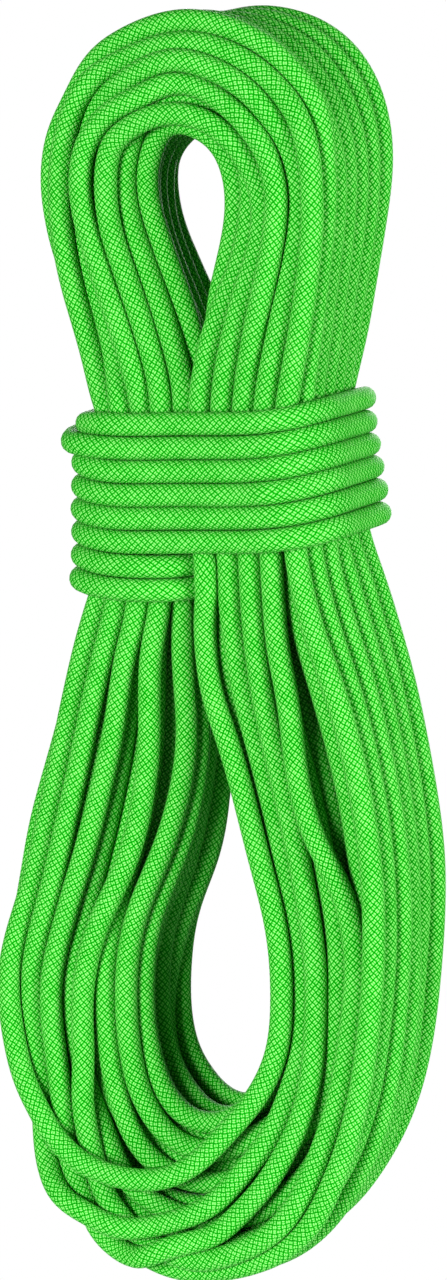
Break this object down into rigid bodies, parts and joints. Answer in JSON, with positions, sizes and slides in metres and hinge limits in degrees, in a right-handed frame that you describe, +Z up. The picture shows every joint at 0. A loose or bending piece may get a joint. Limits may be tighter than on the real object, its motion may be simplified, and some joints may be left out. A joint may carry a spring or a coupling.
{
  "type": "climbing rope",
  "caption": "Dynamic climbing rope put up as a hank: flat turns bound at the waist by wraps of the same rope, with two free tails at the back.",
  "frame": {"origin": "inner top of the hank's upper loop, midway between front and back, where a peg or a strap carries it", "axes": "+Z up along the hank, +X to the right seen from the front, -Y the front"},
  "size_m": [0.1774, 0.1021, 0.5412],
  "materials": {
    "rope_sheath": "braided polyamide, neon green",
    "rope_core": "twisted polyamide, undyed",
    "marker_thread": "thin coloured thread",
    "end_sleeve": "shrunk sleeve, satin",
    "fused_end": "melted polyamide"
  },
  "bodies": {
    "hank": {"finish_tail_lead": "rope_sheath", "hank_turns_back": "rope_sheath", "hank_turns_front": "rope_sheath", "hank_turns_middle": "rope_sheath", "left_wrap_1": "rope_sheath", "left_wrap_2": "rope_sheath", "start_tail_lead": "rope_sheath", "waist_wrap_1": "rope_sheath", "waist_wrap_2": "rope_sheath", "waist_wrap_3": "rope_sheath", "waist_wrap_4": "rope_sheath", "waist_wrap_5": "rope_sheath", "waist_wrap_6": "rope_sheath"},
    "start_tail": {"start_tail_core_strand_1": "rope_core", "start_tail_core_strand_2": "rope_core", "start_tail_core_strand_3": "rope_core", "start_tail_core_strand_4": "rope_core", "start_tail_core_strand_5": "rope_core", "start_tail_core_strand_6": "rope_core", "start_tail_core_strand_7": "rope_core", "start_tail_fused_end": "fused_end", "start_tail_marker_thread": "marker_thread", "start_tail_sheath": "rope_sheath", "start_tail_sleeve": "end_sleeve"},
    "finish_tail": {"finish_tail_core_strand_1": "rope_core", "finish_tail_core_strand_2": "rope_core", "finish_tail_core_strand_3": "rope_core", "finish_tail_core_strand_4": "rope_core", "finish_tail_core_strand_5": "rope_core", "finish_tail_core_strand_6": "rope_core", "finish_tail_core_strand_7": "rope_core", "finish_tail_fused_end": "fused_end", "finish_tail_marker_thread": "marker_thread", "finish_tail_sheath": "rope_sheath", "finish_tail_sleeve": "end_sleeve"}
  },
  "joints": [
    {"name": "start_tail_swing", "type": "hinge", "parent": "hank", "child": "start_tail", "pos_m": [0.036, 0.041, -0.202], "axis": [1, 0, 0], "range_deg": [0, 70]},
    {"name": "finish_tail_swing", "type": "hinge", "parent": "hank", "child": "finish_tail", "pos_m": [-0.01, 0.0515, -0.152], "axis": [1, 0, 0], "range_deg": [0, 70]}
  ]
}
